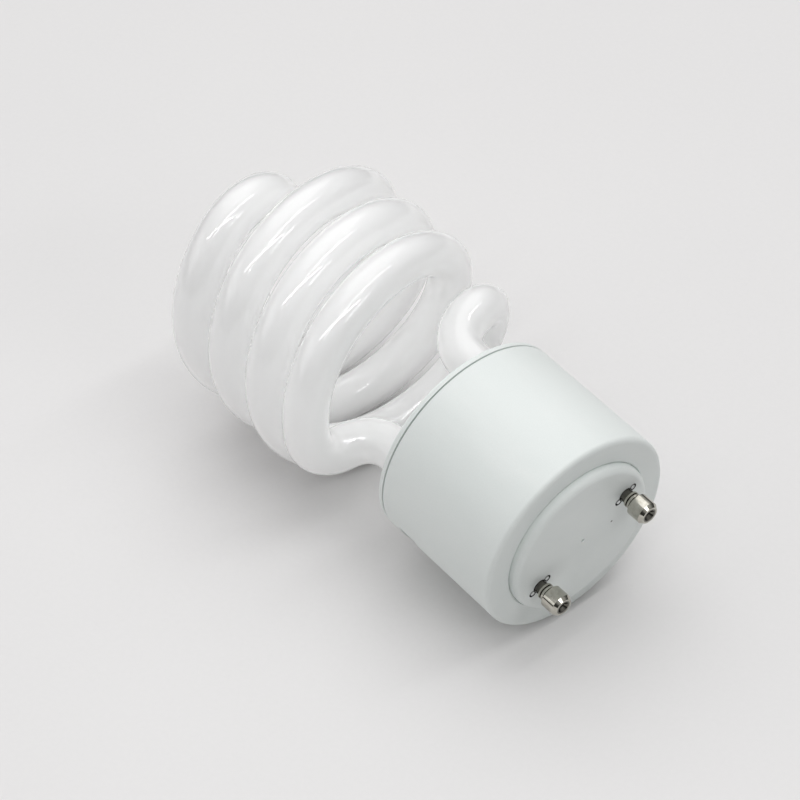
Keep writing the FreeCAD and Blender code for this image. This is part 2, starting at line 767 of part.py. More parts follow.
b = new_body("choke_winding")
s = new_sketch(b, "winding_ring", "XY_Plane", q("choke_yoke") + 0.1 + "bobbin_flange")
ox, oy = bl + "bobbin_t" + "winding_t", bd + "bobbin_t" + "winding_t"
rect(s, -ox, ox, -oy, oy)
rect(s, -(bl + "bobbin_t" + 0.03), bl + "bobbin_t" + 0.03, -(bd + "bobbin_t" + 0.03), bd + "bobbin_t" + 0.03)
pad(b, s, gap_h - 0.2 - q("bobbin_flange") * 2, "turns")
round_edges(b, lambda e: e.Curve.TypeId == "Part::GeomLine" and abs(e.Vertexes[0].Point.z - e.Vertexes[-1].Point.z) > 1 and abs(abs(e.Vertexes[0].Point.x) - ox.v) < 0.01, 1.6, "corners")
finish(b, "choke_winding", core_at)

# smoothing capacitor: sealed can with a rolled end, standing on the board
b = new_body("smoothing_capacitor")
s = new_sketch(b, "can_profile", "XZ_Plane")
outline(s, [
    (0, 0), (q("cap_r") - 0.6, 0), ("cap_r", 0.6),
    ("cap_r", q("cap_h") - 2.6), (q("cap_r") - 0.45, q("cap_h") - 2.2), (q("cap_r") - 0.45, q("cap_h") - 1.7),
    ("cap_r", q("cap_h") - 1.3), ("cap_r", "cap_h"), (0, "cap_h"),
])
revolve(b, s)
finish(b, "smoothing_capacitor", Placement(V(num("cap_x"), num("cap_y"), board - num("cap_h")), Rotation()))


def film(l, w, h, x, y, turn, name):
    """Dipped film capacitor hanging from the board on two leads."""
    at = V(x, y, board - 1.2 - q(h).v)
    core = box(l, w, h, at, turn)
    f = doc.addObject("Part::Fillet", name + "_soft")
    f.Base = core
    doc.recompute()
    f.Edges = [(i + 1, 0.9, 0.9) for i in range(12)]
    doc.recompute()
    d = Rotation(V(0, 0, 1), turn).multVec(V(q(l).v / 2 - 1.6, 0, 0))
    top = board - 1.2
    leads = [drop_lead(x + d.x, y + d.y, top - 0.5), drop_lead(x - d.x, y - d.y, top - 0.5)]
    return fuse([f] + leads, name)


finish(film("film_l", "film_w", "film_h", -10.6, -4.6, 62, "resonance_capacitor"), "resonance_capacitor")
finish(group([
    film("small_film_l", "small_film_w", "small_film_h", -0.9, -13.2, 90, "coupling_capacitor"),
    film("small_film_l", "small_film_w", "small_film_h", -4.6, -0.6, 80, "snubber_capacitor"),
], "film_capacitors"), "film_capacitors")

# drive transformer: ferrite ring with three short windings
tx, ty = 3.4, -4.4
tz = board - 1.4 - num("toroid_h")
b = new_body("toroid_core")
s = new_sketch(b, "ring_profile", "XZ_Plane")
rect(s, "toroid_in_r", "toroid_r", 0, "toroid_h")
revolve(b, s)
ring_at = Placement(V(tx, ty, tz), Rotation())
finish(b, "toroid_core", ring_at)
turns = []
for k, start in enumerate((10, 130, 250)):
    b = new_body("drive_winding_%d" % (k + 1))
    s = new_sketch(b, "drive_profile_%d" % (k + 1), "XZ_Plane")
    gap, thick = 0.03, q("toroid_wire")
    rect(s, q("toroid_in_r") - gap - thick, q("toroid_r") + gap + thick, -(thick + gap), q("toroid_h") + gap + thick)
    rect(s, q("toroid_in_r") - gap, q("toroid_r") + gap, -gap, q("toroid_h") + gap)
    revolve(b, s, (62, 62, 40)[k])
    b.Placement = Placement(V(tx, ty, tz), Rotation(V(0, 0, 1), start))
    mid = math.radians(start + (62, 62, 40)[k] / 2.0)
    mx, my = tx + (num("toroid_r") - 0.4) * math.cos(mid), ty + (num("toroid_r") - 0.4) * math.sin(mid)
    turns.append(fuse([b, drop_lead(mx, my, tz + num("toroid_h") + 0.2)], "drive_turns_%d" % (k + 1)))
finish(group(turns, "toroid_windings"), "toroid_windings")


# transistors: moulded D-shaped bodies on three leads
def transistor(x, y, turn, name):
    z = board - 2.2 - num("to92_h")
    d = cylinder("to92_r", "to92_h", V(x, y, z))
    spin = Rotation(V(0, 0, 1), turn)
    away = spin.multVec(V(0, num("to92_flat") + 3, 0))
    body = cut(d, box(8, 6, q("to92_h") + 2, V(x, y, z - 1) + away, turn), name + "_body")
    leads = []
    for k in (-1, 0, 1):
        p = spin.multVec(V(1.27 * k, 0, 0))
        leads.append(drop_lead(x + p.x, y + p.y, board - 2.7))
    return fuse([body] + leads, name)


finish(transistor(3.4, -13.0, 200, "transistor_1"), "transistor_1")
finish(transistor(8.8, -11.8, 230, "transistor_2"), "transistor_2")


def upright(radius, length, x, y, turn, name):
    """Standing body with one lead straight up and the other folded back beside it."""
    r, ln = q(radius), q(length)
    low = board - 1.5 - ln.v
    d = Rotation(V(0, 0, 1), turn).multVec(V(1, 0, 0))
    side = V(x, y, low - 0.8) + d * (r.v + 0.9)
    parts = [
        cylinder(r, ln, V(x, y, low)),
        cylinder(wire, q(length) + 2.3, V(x, y, low - 0.8)),
        ball(wire, V(x, y, low - 0.8)),
        cylinder(wire, r + 0.9, V(x, y, low - 0.8), d),
        ball(wire, side),
        drop_lead(side.x, side.y, side.z),
    ]
    return fuse(parts, name)


# rectifier diodes, trigger diode, fuse resistor and small resistors
finish(group([
    upright("diode_r", "diode_l", 11.9, -2.6, -90, "diode_1"),
    upright("diode_r", "diode_l", 15.2, -2.6, -90, "diode_2"),
    upright("diode_r", "diode_l", 11.9, -7.4, -90, "diode_3"),
    upright("diode_r", "diode_l", 15.0, -7.4, -90, "diode_4"),
], "rectifier_diodes"), "rectifier_diodes")
finish(axial("diac_r", "diac_l", -3.2, -6.6, board - 1.7, 90, "diac"), "diac")
finish(upright("fuse_r", "fuse_l", 16.2, 2.4, 90, "fuse_resistor"), "fuse_resistor")
finish(group([
    axial("res_r", "res_l", -11.7, -12.3, board - 1.6, 135, "resistor_1"),
    axial("res_r", "res_l", 8.7, 2.3, board - 1.6, 0, "resistor_2"),
    axial("res_r", "res_l", 1.2, 2.3, board - 1.6, 0, "resistor_3"),
    axial("res_r", "res_l", -14.6, 3.4, board - 1.6, 80, "resistor_4"),
], "resistors"), "resistors")

# filter coil: drum core with one winding, its flange against the board
b = new_body("filter_coil_core")
s = new_sketch(b, "drum_profile", "XZ_Plane")
outline(s, [
    (0, 0), ("drum_r", 0), ("drum_r", "drum_flange"), ("drum_core_r", "drum_flange"),
    ("drum_core_r", q("drum_h") - "drum_flange"), ("drum_r", q("drum_h") - "drum_flange"),
    ("drum_r", "drum_h"), (0, "drum_h"),
])
revolve(b, s)
drum_at = Placement(V(-6.2, -12.4, board - num("drum_h")), Rotation())
finish(b, "filter_coil_core", drum_at)
b = new_body("filter_coil_winding")
s = new_sketch(b, "drum_turns", "XZ_Plane")
rect(s, q("drum_core_r") + 0.03, q("drum_r") - 0.4, q("drum_flange") + 0.03, q("drum_h") - "drum_flange" - 0.03)
revolve(b, s)
finish(b, "filter_coil_winding", drum_at)

# thermistor disc on two leads
pz = board - 1.6 - num("ptc_r")
disc = cylinder("ptc_r", "ptc_t", V(-18.2, -2.0, pz), V(1, 0, 0))
finish(fuse([disc, drop_lead(-17.0, -0.8, pz + 2.0), drop_lead(-17.0, -3.2, pz + 2.0)], "thermistor"), "thermistor")


# ------------------------------------------------------------------ wires
def wire_along(points, bends, radius, name):
    """Round wire along straight runs joined by tangent arcs."""
    edges, here = [], points[0]
    for i in range(1, len(points) - 1):
        a0, am, a1 = corner(points[i - 1], points[i], points[i + 1], bends[i - 1])
        edges += [Part.LineSegment(here, a0).toShape(), Part.Arc(a0, am, a1).toShape()]
        here = a1
    edges.append(Part.LineSegment(here, points[-1]).toShape())
    run = Part.Wire(edges)
    disc_ = Part.Face(Part.Wire([Part.Circle(points[0], unit(points[1] - points[0]), radius).toShape()]))
    o = doc.addObject("Part::Feature", name)
    o.Shape = run.makePipe(disc_)
    expected = math.pi * radius**2 * run.Length
    if abs(o.Shape.Volume - expected) > 0.01 * expected:
        raise RuntimeError("wire volume of " + name)
    return o


# four wrap posts on the board and the filament leads that run to them
posts = []
deck = q("board_z") + "board_t"
level = deck.v + num("post_h") * 0.55
count = 0
for leg_turn in (0, 180):
    centre = turn_z(V(leg_x.v, leg_y.v, 0), leg_turn)
    az = num("leg_az") + leg_turn
    for swing in (-22, 22):
        a = math.radians(az + swing)
        at = V(num("post_r") * math.cos(a), num("post_r") * math.sin(a), 0)
        across = V(-math.sin(math.radians(az)), math.cos(math.radians(az)), 0)
        start = centre + across * (num("lamp_wire_off") * (1 if swing > 0 else -1))
        run = at - start
        turn = math.degrees(math.atan2(run.y, run.x))
        posts.append(box("post_w", "post_w", "post_h", V(at.x, at.y, deck.v), turn))
        stop = at - unit(run) * (num("post_w") / 2)
        count += 1
        name = "lamp_lead_%d" % count
        finish(wire_along([
            V(start.x, start.y, num("leg_end")),
            V(start.x, start.y, level),
            V(stop.x, stop.y, level),
        ], [1.2], num("lamp_wire_r"), name), name)
finish(group(posts, "wrap_posts"), "wrap_posts")

# feed wires from the pin tails to the board
for k, side in ((1, 1), (2, -1)):
    name = "feed_wire_%d" % k
    p = V(side * num("pin_gap") / 2, 0, num("pin_tail_z"))
    up = V(side * 1.0, side * 0.8, 0)
    finish(wire_along([
        p,
        V(p.x, p.y, 10.5),
        V(p.x + up.x, p.y + up.y, 15.5),
        V(p.x + up.x, p.y + up.y, board),
    ], [3.0, 3.0], num("feed_wire_r"), name), name)

doc.recompute()
for o in doc.Objects:
    bad = [x for x in o.State if x in ("Invalid", "Error")]
    if bad:
        raise RuntimeError("%s is %s" % (o.Label, bad))
os.makedirs("parts", exist_ok=True)
for o in PIECES:
    sh = o.Shape
    if sh.isNull() or not sh.isValid() or not sh.Solids:
        raise RuntimeError("bad shape in " + o.Label)
    sh.exportStep("parts/%s.step" % o.Label)
    print(o.Label, len(sh.Solids), round(sh.Volume, 1), [round(x, 2) for x in (sh.BoundBox.XMin, sh.BoundBox.XMax, sh.BoundBox.YMin, sh.BoundBox.YMax, sh.BoundBox.ZMin, sh.BoundBox.ZMax)])
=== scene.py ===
import math

import bmesh
import bpy
from mathutils import Matrix, Vector


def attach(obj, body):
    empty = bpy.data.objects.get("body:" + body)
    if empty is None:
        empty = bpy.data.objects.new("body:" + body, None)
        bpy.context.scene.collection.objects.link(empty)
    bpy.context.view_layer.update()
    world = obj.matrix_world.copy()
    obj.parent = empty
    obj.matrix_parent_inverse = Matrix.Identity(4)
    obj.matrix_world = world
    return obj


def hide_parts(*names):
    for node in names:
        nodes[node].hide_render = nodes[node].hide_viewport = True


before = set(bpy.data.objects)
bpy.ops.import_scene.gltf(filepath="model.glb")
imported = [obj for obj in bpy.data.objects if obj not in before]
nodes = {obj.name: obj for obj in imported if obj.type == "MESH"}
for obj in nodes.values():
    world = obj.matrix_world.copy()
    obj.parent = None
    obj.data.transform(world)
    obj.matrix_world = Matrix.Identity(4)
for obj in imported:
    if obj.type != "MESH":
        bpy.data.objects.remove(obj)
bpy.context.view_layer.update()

# ---------------------------------------------------------------- the lamp's own frame
# millimetres: origin at the centre of the base face, z along the axis towards the glass, x towards the first pin
TILT, DOWN = math.radians(5.4649), math.radians(120)
BASE = Vector((47.1463, 0, 22.0606))
AXIS_Z = Vector((-math.cos(TILT), 0, math.sin(TILT)))
LOW = Vector((-math.sin(TILT), 0, -math.cos(TILT)))
SIDE = AXIS_Z.cross(LOW)
AXIS_X = LOW * math.cos(DOWN) - SIDE * math.sin(DOWN)
AXIS_Y = LOW * math.sin(DOWN) + SIDE * math.cos(DOWN)


def row(p):
    """A point of the lamp's frame, in millimetres, to the row frame, in metres."""
    return (AXIS_X * p[0] + AXIS_Y * p[1] + AXIS_Z * p[2] + BASE) / 1000


# ---------------------------------------------------------------- node helpers
def new_material(name):
    m = bpy.data.materials.new(name)
    m.use_nodes = True
    return m, m.node_tree, m.node_tree.nodes["Principled BSDF"]


def lamp_coords(tree):
    """Coordinates in the lamp's frame, in millimetres."""
    tex = tree.nodes.new("ShaderNodeTexCoord")
    turn = Matrix((AXIS_X, AXIS_Y, AXIS_Z))
    mp = tree.nodes.new("ShaderNodeMapping")
    mp.vector_type = "POINT"
    mp.inputs["Scale"].default_value = (1000, 1000, 1000)
    mp.inputs["Rotation"].default_value = turn.to_euler("XYZ")
    mp.inputs["Location"].default_value = -(turn @ BASE)
    tree.links.new(tex.outputs["Object"], mp.inputs["Vector"])
    return mp.outputs["Vector"]


def noise(tree, coords, scale, detail=3.0, rough=0.5, distortion=0.0):
    n = tree.nodes.new("ShaderNodeTexNoise")
    n.inputs["Scale"].default_value = scale
    n.inputs["Detail"].default_value = detail
    n.inputs["Roughness"].default_value = rough
    n.inputs["Distortion"].default_value = distortion
    tree.links.new(coords, n.inputs["Vector"])
    return n.outputs["Fac"]


def stretched(tree, coords, scale):
    mp = tree.nodes.new("ShaderNodeMapping")
    mp.inputs["Scale"].default_value = scale
    tree.links.new(coords, mp.inputs["Vector"])
    return mp.outputs["Vector"]


def ramp(tree, fac, stops):
    r = tree.nodes.new("ShaderNodeValToRGB")
    e = r.color_ramp.elements
    while len(e) < len(stops):
        e.new(0.5)
    for el, (pos, col) in zip(e, stops):
        el.position = pos
        el.color = (*col, 1.0) if len(col) == 3 else col
    tree.links.new(fac, r.inputs["Fac"])
    return r.outputs["Color"]


def spread(tree, fac, low, high, a=0.0, b=1.0):
    n = tree.nodes.new("ShaderNodeMapRange")
    n.inputs["From Min"].default_value = a
    n.inputs["From Max"].default_value = b
    n.inputs["To Min"].default_value = low
    n.inputs["To Max"].default_value = high
    tree.links.new(fac, n.inputs["Value"])
    return n.outputs["Result"]


def math_node(tree, op, a, b=None, clamp=False):
    n = tree.nodes.new("ShaderNodeMath")
    n.operation = op
    n.use_clamp = clamp
    for i, v in enumerate((a, b)):
        if v is None:
            continue
        if isinstance(v, (int, float)):
            n.inputs[i].default_value = v
        else:
            tree.links.new(v, n.inputs[i])
    return n.outputs["Value"]


def mix_colour(tree, fac, a, b, blend="MIX"):
    n = tree.nodes.new("ShaderNodeMix")
    n.data_type = "RGBA"
    n.blend_type = blend
    for sock, v in ((n.inputs["Factor"], fac), (n.inputs["A"], None), (n.inputs["B"], None)):
        if v is not None and isinstance(v, (int, float)):
            sock.default_value = v
        elif v is not None:
            tree.links.new(v, sock)
    for name, v in (("A", a), ("B", b)):
        sock = [s for s in n.inputs if s.name == name and s.type == "RGBA"][0]
        if isinstance(v, tuple):
            sock.default_value = (*v, 1.0)
        else:
            tree.links.new(v, sock)
    return [s for s in n.outputs if s.type == "RGBA"][0]


def bump(tree, height, distance, strength=1.0, under=None):
    n = tree.nodes.new("ShaderNodeBump")
    n.inputs["Strength"].default_value = strength
    n.inputs["Distance"].default_value = distance
    tree.links.new(height, n.inputs["Height"])
    if under is not None:
        tree.links.new(under, n.inputs["Normal"])
    return n.outputs["Normal"]


def near(tree, coords, point, inner, outer):
    """1 within inner millimetres of a point, falling to 0 at outer."""
    d = tree.nodes.new("ShaderNodeVectorMath")
    d.operation = "DISTANCE"
    d.inputs[1].default_value = point
    tree.links.new(coords, d.inputs[0])
    return spread(tree, d.outputs["Value"], 1.0, 0.0, inner, outer)


# ---------------------------------------------------------------- finishes that show
def coated_glass():
    """Clear glass over a thin white powder coat: glossy outside, softly mottled, and it lets some light through."""
    m, t, b = new_material("coated_glass")
    co = lamp_coords(t)
    cloud = noise(t, co, 0.16, 3.0, 0.55)
    grain = noise(t, co, 3.2, 2.0, 0.6)
    base = ramp(t, cloud, [(0.25, (0.986, 0.988, 0.986)), (0.75, (0.997, 0.998, 0.996))])
    powder = ramp(t, grain, [(0.3, (0.994, 0.994, 0.994)), (0.7, (1.0, 1.0, 1.0))])
    colour = mix_colour(t, 1.0, base, powder, "MULTIPLY")
    # painted shade: the base colour is darkened where the tube is seen edge on, standing in for the thin grey line that
    # the clear wall over the coat shows there
    edge = t.nodes.new("ShaderNodeLayerWeight")
    edge.inputs["Blend"].default_value = 0.5
    painted_edge_shade = ramp(t, edge.outputs["Facing"], [(0.62, (1.0, 1.0, 1.0)), (0.9, (0.80, 0.80, 0.80))])
    colour = mix_colour(t, 1.0, colour, painted_edge_shade, "MULTIPLY")
    t.links.new(colour, b.inputs["Base Color"])
    t.links.new(spread(t, grain, 0.38, 0.52, 0.3, 0.7), b.inputs["Roughness"])
    b.inputs["Specular IOR Level"].default_value = 0.2
    b.inputs["Subsurface Weight"].default_value = 1.0
    b.inputs["Subsurface Radius"].default_value = (1.0, 1.0, 1.0)
    b.inputs["Subsurface Scale"].default_value = 0.03
    b.inputs["Coat Weight"].default_value = 1.0
    b.inputs["Coat Roughness"].default_value = 0.03
    b.inputs["Coat IOR"].default_value = 1.65
    t.links.new(bump(t, grain, 0.00002, 0.5), b.inputs["Normal"])
    wave = noise(t, co, 0.35, 2.0, 0.5)
    peel = noise(t, co, 1.5, 2.0, 0.5)
    under = bump(t, wave, 0.00003, 0.5)
    t.links.new(bump(t, peel, 0.00002, 0.3, under), b.inputs["Coat Normal"])
    return m


def moulded_plastic(name, low, high, specks=(), shaded_gaps=()):
    """Satin white moulding: very fine spark texture, faint flow marks, a little handling grime, and painted shade in
    narrow gaps.
    """
    m, t, b = new_material(name)
    co = lamp_coords(t)
    flow = noise(t, stretched(t, co, (1.0, 1.0, 0.35)), 0.08, 3.0, 0.5, 0.6)
    grain = noise(t, co, 4.5, 2.0, 0.6)
    tone = ramp(t, flow, [(0.3, low), (0.7, high)])
    fine = ramp(t, grain, [(0.35, (0.975, 0.975, 0.975)), (0.65, (1.0, 1.0, 1.0))])
    colour = mix_colour(t, 1.0, tone, fine, "MULTIPLY")
    for point, size, dark in specks:
        colour = mix_colour(t, near(t, co, point, size * 0.45, size), colour, dark)
    # painted shade: each gap ring is painted near black, where shade falls in the gap
    for point, inner, outer, dark in shaded_gaps:
        inside = near(t, co, point, outer, outer + 0.06)
        outside = near(t, co, point, inner - 0.06, inner)
        colour = mix_colour(t, math_node(t, "SUBTRACT", inside, outside, True), colour, dark)
    t.links.new(colour, b.inputs["Base Color"])
    t.links.new(spread(t, flow, 0.40, 0.50, 0.3, 0.7), b.inputs["Roughness"])
    b.inputs["IOR"].default_value = 1.47
    b.inputs["Specular IOR Level"].default_value = 0.45
    b.inputs["Subsurface Weight"].default_value = 0.12
    b.inputs["Subsurface Radius"].default_value = (1.0, 1.0, 1.0)
    b.inputs["Subsurface Scale"].default_value = 0.0008
    t.links.new(bump(t, grain, 0.00003, 0.35), b.inputs["Normal"])
    return m


def plated_metal():
    """Nickel plate over turned metal: fine lathe lines round the pin, a little dulling, and painted shade in the neck
    and tip recess.
    """
    m, t, b = new_material("pin_metal")
    co = lamp_coords(t)
    lines = noise(t, stretched(t, co, (0.25, 0.25, 9.0)), 1.0, 3.0, 0.6)
    tarnish = noise(t, co, 0.9, 4.0, 0.6)
    plate = ramp(t, tarnish, [(0.3, (0.40, 0.385, 0.335)), (0.55, (0.52, 0.505, 0.45)), (0.8, (0.60, 0.585, 0.53))])
    # painted shade: the neck between its rings and the recess in the tip are painted near black, where they lie in
    # shade
    sep = t.nodes.new("ShaderNodeSeparateXYZ")
    t.links.new(co, sep.inputs["Vector"])
    off = math_node(t, "SUBTRACT", math_node(t, "ABSOLUTE", sep.outputs["X"]), 12.0)
    reach = math_node(t, "SQRT", math_node(t, "ADD", math_node(t, "MULTIPLY", off, off), math_node(t, "MULTIPLY", sep.outputs["Y"], sep.outputs["Y"])))
    t.links.new(
        mix_colour(t, spread(t, reach, 0.8, 0.0, 1.46, 1.62), plate, (0.05, 0.048, 0.042)),
        b.inputs["Base Color"],
    )
    b.inputs["Metallic"].default_value = 1.0
    t.links.new(spread(t, tarnish, 0.03, 0.08, 0.25, 0.75), b.inputs["Roughness"])
    t.links.new(bump(t, lines, 0.00002, 0.4), b.inputs["Normal"])
    return m


def cement():
    m, t, b = new_material("cement")
    co = lamp_coords(t)
    lumps = noise(t, co, 0.9, 4.0, 0.6)
    pits = noise(t, co, 5.0, 3.0, 0.6)
    t.links.new(ramp(t, lumps, [(0.3, (0.74, 0.73, 0.70)), (0.7, (0.84, 0.835, 0.81))]), b.inputs["Base Color"])
    t.links.new(spread(t, pits, 0.65, 0.9, 0.3, 0.7), b.inputs["Roughness"])
    t.links.new(bump(t, pits, 0.00008, 0.5, bump(t, lumps, 0.0003, 0.4)), b.inputs["Normal"])
    return m


# ---------------------------------------------------------------- finishes inside the housing
def plain_part(name, low, high, scale, rough, metallic=0.0, relief=0.00003, bands=None):
    """A small component: two tones of its colour, uneven gloss and a little relief; bands are wire turns, with painted
    shade between them.
    """
    m, t, b = new_material(name)
    co = lamp_coords(t)
    blot = noise(t, co, scale, 4.0, 0.6)
    fine = noise(t, co, scale * 9, 2.0, 0.5)
    colour = ramp(t, blot, [(0.3, low), (0.7, high)])
    normal = bump(t, fine, relief, 0.5)
    if bands:
        w = t.nodes.new("ShaderNodeTexWave")
        w.wave_type = "BANDS"
        w.bands_direction = bands[0]
        w.wave_profile = "SIN"
        w.inputs["Scale"].default_value = bands[1]
        w.inputs["Distortion"].default_value = 0.35
        t.links.new(co, w.inputs["Vector"])
        # painted shade: the grooves between the wire turns are painted darker
        colour = mix_colour(t, spread(t, w.outputs["Fac"], 0.65, 0.0, 0.0, 0.5), colour, tuple(0.35 * c for c in low))
        normal = bump(t, w.outputs["Fac"], 0.0001, 0.8, normal)
    t.links.new(colour, b.inputs["Base Color"])
    t.links.new(spread(t, blot, rough[0], rough[1], 0.25, 0.75), b.inputs["Roughness"])
    t.links.new(normal, b.inputs["Normal"])
    b.inputs["Metallic"].default_value = metallic
    return m


def dress(names, material):
    for n in names:
        o = nodes[n]
        o.data.materials.clear()
        o.data.materials.append(material)


glass = coated_glass()
housing = moulded_plastic(
    "housing", (0.775, 0.815, 0.800), (0.815, 0.850, 0.835),
    [((6.58, 3.39, 0.0), 0.30, (0.10, 0.09, 0.08))],
    # painted shade: near-black rings in the narrow gaps round the lobes beside the pins
    [((x, 0.0, 0.2), 0.56, 0.86, (0.03, 0.03, 0.028)) for x in (13.98, 10.02, -10.02, -13.98)],
)
dress(["lower_housing", "top_cover"], housing)
dress(["contact_pin_1", "contact_pin_2"], plated_metal())
dress(["tube_cement_1", "tube_cement_2"], cement())
dress(["ballast_board"], plain_part("board", (0.30, 0.17, 0.07), (0.40, 0.24, 0.11), 0.5, (0.45, 0.65)))
dress(["choke_core", "toroid_core", "filter_coil_core"], plain_part("ferrite", (0.018, 0.018, 0.020), (0.045, 0.045, 0.048), 1.2, (0.5, 0.8)))
dress(["choke_bobbin"], plain_part("bobbin", (0.015, 0.015, 0.016), (0.03, 0.03, 0.03), 0.6, (0.4, 0.6)))
dress(["choke_winding"], plain_part("choke_wire", (0.30, 0.085, 0.025), (0.46, 0.15, 0.05), 0.8, (0.18, 0.32), 0.6, bands=("Z", 1.1)))
dress(["filter_coil_winding"], plain_part("filter_wire", (0.30, 0.085, 0.025), (0.46, 0.15, 0.05), 0.8, (0.18, 0.32), 0.6, bands=("Z", 1.0)))
dress(["toroid_windings"], plain_part("toroid_wire", (0.30, 0.085, 0.025), (0.46, 0.15, 0.05), 0.8, (0.2, 0.35), 0.6, bands=("DIAGONAL", 0.6)))
dress(["smoothing_capacitor"], plain_part("can", (0.012, 0.014, 0.022), (0.03, 0.034, 0.05), 0.7, (0.3, 0.45)))
dress(["resonance_capacitor", "film_capacitors"], plain_part("film_dip", (0.22, 0.035, 0.012), (0.34, 0.07, 0.025), 0.6, (0.15, 0.3)))
dress(["transistor_1", "transistor_2", "rectifier_diodes"], plain_part("black_epoxy", (0.008, 0.008, 0.009), (0.022, 0.022, 0.023), 1.0, (0.45, 0.7)))
dress(["diac"], plain_part("diode_glass", (0.02, 0.07, 0.26), (0.05, 0.12, 0.36), 1.0, (0.08, 0.2)))
dress(["fuse_resistor"], plain_part("fuse_coat", (0.04, 0.11, 0.05), (0.07, 0.17, 0.085), 0.8, (0.35, 0.55)))
dress(["resistors"], plain_part("resistor_coat", (0.36, 0.22, 0.10), (0.48, 0.32, 0.16), 0.9, (0.3, 0.5)))
dress(["thermistor"], plain_part("thermistor_coat", (0.03, 0.075, 0.16), (0.055, 0.12, 0.23), 0.8, (0.35, 0.55)))
dress(["lamp_lead_1", "lamp_lead_2", "lamp_lead_3", "lamp_lead_4"], plain_part("lead_wire", (0.42, 0.41, 0.39), (0.60, 0.59, 0.57), 1.5, (0.25, 0.45), 1.0))
dress(["wrap_posts"], plain_part("post_metal", (0.50, 0.45, 0.34), (0.66, 0.60, 0.48), 1.5, (0.2, 0.4), 1.0))
dress(["feed_wire_1", "feed_wire_2"], plain_part("wire_cover", (0.52, 0.52, 0.50), (0.64, 0.64, 0.62), 0.8, (0.4, 0.6)))


# ---------------------------------------------------------------- spiral glass
TUBE_R = 4.6
COIL_R, RISE = 23.35, 23.1
FROM, TO = 201.0, 802.0


def height(deg):
    return 58.82 + RISE * (deg - 270) / 360


def helix(deg):
    a = math.radians(deg)
    return Vector((COIL_R * math.cos(a), COIL_R * math.sin(a), height(deg)))


def helix_run(deg):
    a = math.radians(deg)
    return Vector((-COIL_R * math.sin(a), COIL_R * math.cos(a), RISE / (2 * math.pi))).normalized()


def rounded(p0, p1, p2, r, step):
    """Points along the arc of radius r that rounds the corner p1."""
    a, c = (p0 - p1).normalized(), (p2 - p1).normalized()
    ang = a.angle(c)
    t = r / math.tan(ang / 2)
    start, end = p1 + a * t, p1 + c * t
    centre = p1 + (a + c).normalized() * (r / math.sin(ang / 2))
    u, v = (start - centre).normalized(), -a
    sweep = math.pi - ang
    n = max(4, int(sweep * r / step))
    pts = [centre + (u * math.cos(sweep * i / n) + v * math.sin(sweep * i / n)) * r for i in range(n + 1)]
    return start, pts, end


def half_line(step=0.4):
    """Centre line of one arm, from its sealed end in the housing to the middle of the crossover."""
    az = math.radians(173.7)
    foot = Vector((11.4 * math.cos(az), 11.4 * math.sin(az), 27.5))
    lean = Vector((foot.x, foot.y, 50.85))
    join, run = helix(FROM), helix_run(FROM)
    d = 6.4
    for _ in range(40):
        out = join - run * d
        d = 6.4 / math.tan((lean - out).angle(run) / 2)
    out = join - run * d
    l0, lean_pts, l1 = rounded(foot, lean, out, 8.0, step)
    c0, bend_pts, c1 = rounded(lean, out, join, 6.4, step)

    def straight(p, q):
        n = max(2, int((q - p).length / step))
        return [p.lerp(q, i / n) for i in range(n)]

    pts = straight(foot, l0) + lean_pts[:-1] + straight(l1, c0) + bend_pts[:-1]
    n = int(math.radians(TO - FROM) * COIL_R / step)
    pts += [helix(FROM + (TO - FROM) * i / n) for i in range(n)]
    rho = 11.4
    off = COIL_R - rho
    th = math.radians(TO)
    curl = math.pi - math.acos(min(rho / off, 1.0))
    total = rho * curl + math.sqrt(max(off * off - rho * rho, 0))
    slope = RISE / (2 * math.pi) / COIL_R
    n = int(total / step)
    for i in range(n + 1):
        s = total * i / n
        u = i / n
        z = height(TO) + slope * total * (u - 2 * u**2 + u**3) + 4.3 * (3 * u**2 - 2 * u**3)
        if s <= rho * curl:
            k = th + s / rho
            pts.append(Vector((off * math.cos(th) + rho * math.cos(k), off * math.sin(th) + rho * math.sin(k), z)))
        else:
            k = th + curl
            rest = total - s
            pts.append(Vector((math.sin(k) * rest, -math.cos(k) * rest, z)))
    return pts


def spaced(pts, gap):
    """The same line with points an even gap apart."""
    run = [0.0]
    for p, q in zip(pts, pts[1:]):
        run.append(run[-1] + (q - p).length)
    n = int(run[-1] / gap)
    out, j = [], 0
    for i in range(n + 1):
        s = run[-1] * i / n
        while j < len(run) - 2 and run[j + 1] < s:
            j += 1
        w = (s - run[j]) / max(run[j + 1] - run[j], 1e-9)
        out.append(pts[j].lerp(pts[j + 1], min(max(w, 0), 1)))
    return out


def eased(pts, times):
    """Takes the sudden changes of bend out of the line; its ends stay."""
    for _ in range(times):
        pts = [pts[0]] + [(a + b * 2 + c) / 4 for a, b, c in zip(pts, pts[1:], pts[2:])] + [pts[-1]]
    return pts


